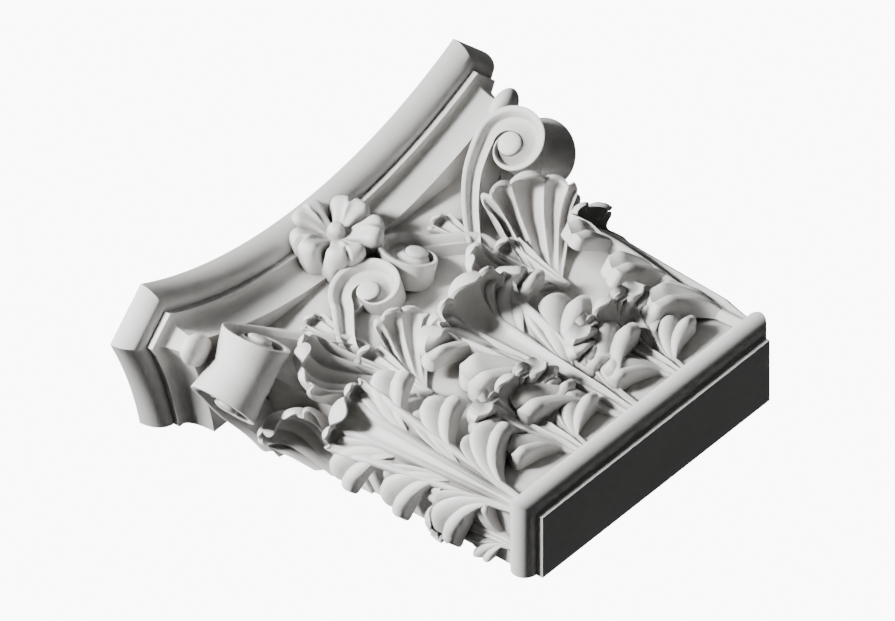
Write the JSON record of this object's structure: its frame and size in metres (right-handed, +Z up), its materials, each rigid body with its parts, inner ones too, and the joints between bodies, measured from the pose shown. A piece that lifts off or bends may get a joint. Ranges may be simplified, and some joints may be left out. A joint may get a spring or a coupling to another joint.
{
  "type": "pilaster capital",
  "caption": "Corinthian pilaster capital with acanthus leaves, corner volutes, inner scrolls, a curved abacus and a rosette; flat back for a wall.",
  "frame": {"origin": "centre of the flat underside that rests on the pilaster's shaft", "axes": "+Z up, -Y the carved front, +Y the flat back that goes against the wall, +X from the capital's left to its right as seen from the front"},
  "size_m": [0.412, 0.1265, 0.3246],
  "materials": {
    "white_plaster": "matt cast gypsum plaster, unpainted, smooth with fine pores"
  },
  "bodies": {
    "root": {"capital": "white_plaster"}
  },
  "joints": []
}
